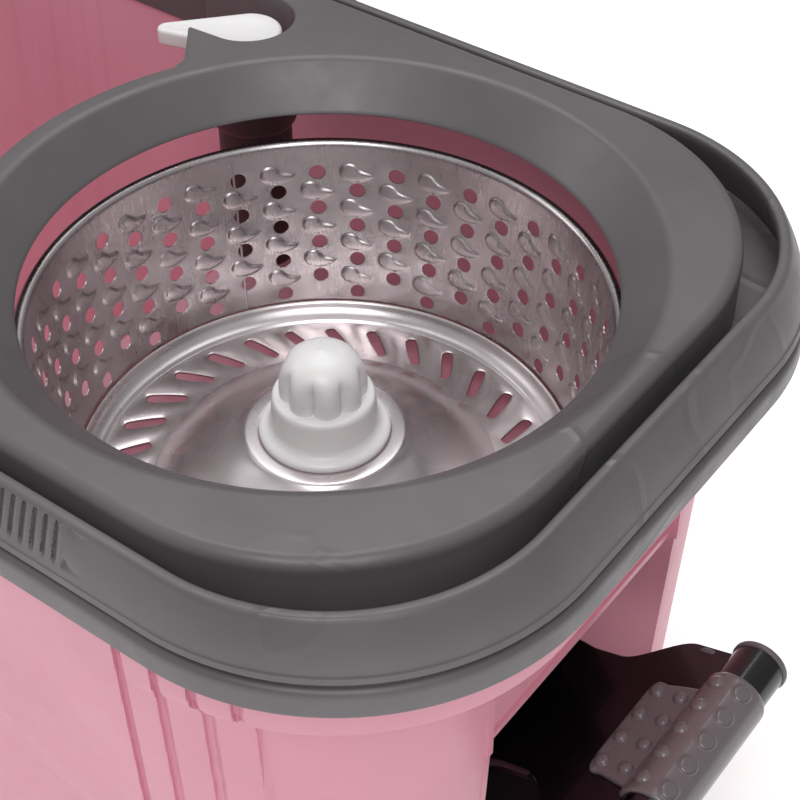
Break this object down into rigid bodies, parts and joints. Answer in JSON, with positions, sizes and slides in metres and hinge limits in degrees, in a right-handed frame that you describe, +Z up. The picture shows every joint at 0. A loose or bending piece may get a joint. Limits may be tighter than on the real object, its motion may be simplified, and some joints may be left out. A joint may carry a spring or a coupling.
{
  "type": "spin mop bucket",
  "caption": "Oblong mop bucket with a foot-pedal spinner: a perforated steel basket with a mop drive hub under a grey collar, a carrying handle, a soap pump and a geared pedal drive",
  "frame": {"origin": "centre of the whole object's bounding box in plan, on the floor plane under the feet", "axes": "+X along the bucket towards the spinner and its pedal, +Y across the bucket towards the soap pump side, +Z up"},
  "size_m": [0.506, 0.2814, 0.2544],
  "materials": {
    "pink_plastic": "smooth satin moulded polypropylene",
    "grey_plastic": "satin moulded polypropylene",
    "black_plastic": "glossy moulded ABS",
    "dark_plastic": "matt moulded plastic",
    "white_plastic": "smooth moulded nylon",
    "gear_plastic": "natural acetal, machined look",
    "basket_steel": "pressed stainless sheet, vertical brushing",
    "hardware_steel": "zinc plated steel",
    "bronze": "sintered bronze",
    "pad_rubber": "soft grey elastomer with raised studs",
    "dark_rubber": "dark elastomer"
  },
  "bodies": {
    "root": {"bucket_shell": "pink_plastic", "rim_trim": "grey_plastic", "spin_collar": "grey_plastic", "foot_spin_near": "dark_rubber", "foot_spin_far": "dark_rubber", "foot_wash_near": "dark_rubber", "foot_wash_far": "dark_rubber", "handle_pin_near": "dark_plastic", "handle_pin_far": "dark_plastic", "shaft_bush": "white_plastic", "shaft_seal": "dark_rubber", "gearbox_frame": "dark_plastic", "frame_screws": "hardware_steel", "gearbox_cover": "dark_plastic", "cover_screws": "hardware_steel", "near_bushing": "bronze", "far_bushing": "bronze", "pedal_pivot_pin": "hardware_steel", "pivot_clips": "hardware_steel", "return_spring": "hardware_steel", "soap_bottle": "dark_plastic", "pump_collar": "white_plastic", "dip_tube": "white_plastic", "pump_spring": "hardware_steel", "pedal_tray": "dark_plastic"},
    "handle": {"carry_handle": "grey_plastic"},
    "basket": {"basket_wall": "basket_steel", "basket_floor": "basket_steel", "drive_hub": "white_plastic", "hub_washer": "hardware_steel", "hub_screws": "hardware_steel", "basket_shaft": "hardware_steel", "clutch_driven": "gear_plastic", "shaft_clip": "hardware_steel"},
    "driver": {"clutch_driver": "gear_plastic"},
    "input": {"input_shaft": "hardware_steel", "input_pinion": "gear_plastic", "crown_gear": "gear_plastic"},
    "pedal": {"pedal_lever": "black_plastic", "sector_gear": "gear_plastic", "sector_screws": "hardware_steel", "pedal_pad": "pad_rubber", "bar_pad": "pad_rubber", "bar_caps": "grey_plastic"},
    "pump": {"pump_head": "white_plastic", "pump_stem": "white_plastic"}
  },
  "joints": [
    {"name": "handle_swing", "type": "hinge", "parent": "root", "child": "handle", "pos_m": [-0.012, 0, 0.2411], "axis": [0, -1, 0], "range_deg": [0, 100]},
    {"name": "basket_spin", "type": "hinge", "parent": "root", "child": "basket", "pos_m": [0.088, 0, 0.228], "axis": [0, 0, 1], "continuous": true},
    {"name": "pedal_press", "type": "hinge", "parent": "root", "child": "pedal", "pos_m": [0.1565, 0, 0.07159], "axis": [0, 1, 0], "range_deg": [0, 30], "stiffness_Nm_per_rad": 0.5, "springref_deg": -22.92},
    {"name": "input_spin", "type": "hinge", "parent": "root", "child": "input", "pos_m": [0.088, 0, 0.086], "axis": [0, 1, 0], "range_deg": [-145, 0]},
    {"name": "driver_spin", "type": "hinge", "parent": "root", "child": "driver", "pos_m": [0.088, 0, 0.12], "axis": [0, 0, 1], "range_deg": [-435, 0]},
    {"name": "pump_press", "type": "slide", "parent": "root", "child": "pump", "axis": [0, 0, -1], "range_m": [0, 0.009], "stiffness_N_per_m": 150, "springref_m": -0.01, "deforming": ["pump_spring"]}
  ],
  "couplings": [
    {"joint": "input_spin", "follows": "pedal_press", "ratio": -4.8333},
    {"joint": "driver_spin", "follows": "pedal_press", "ratio": -14.5}
  ]
}
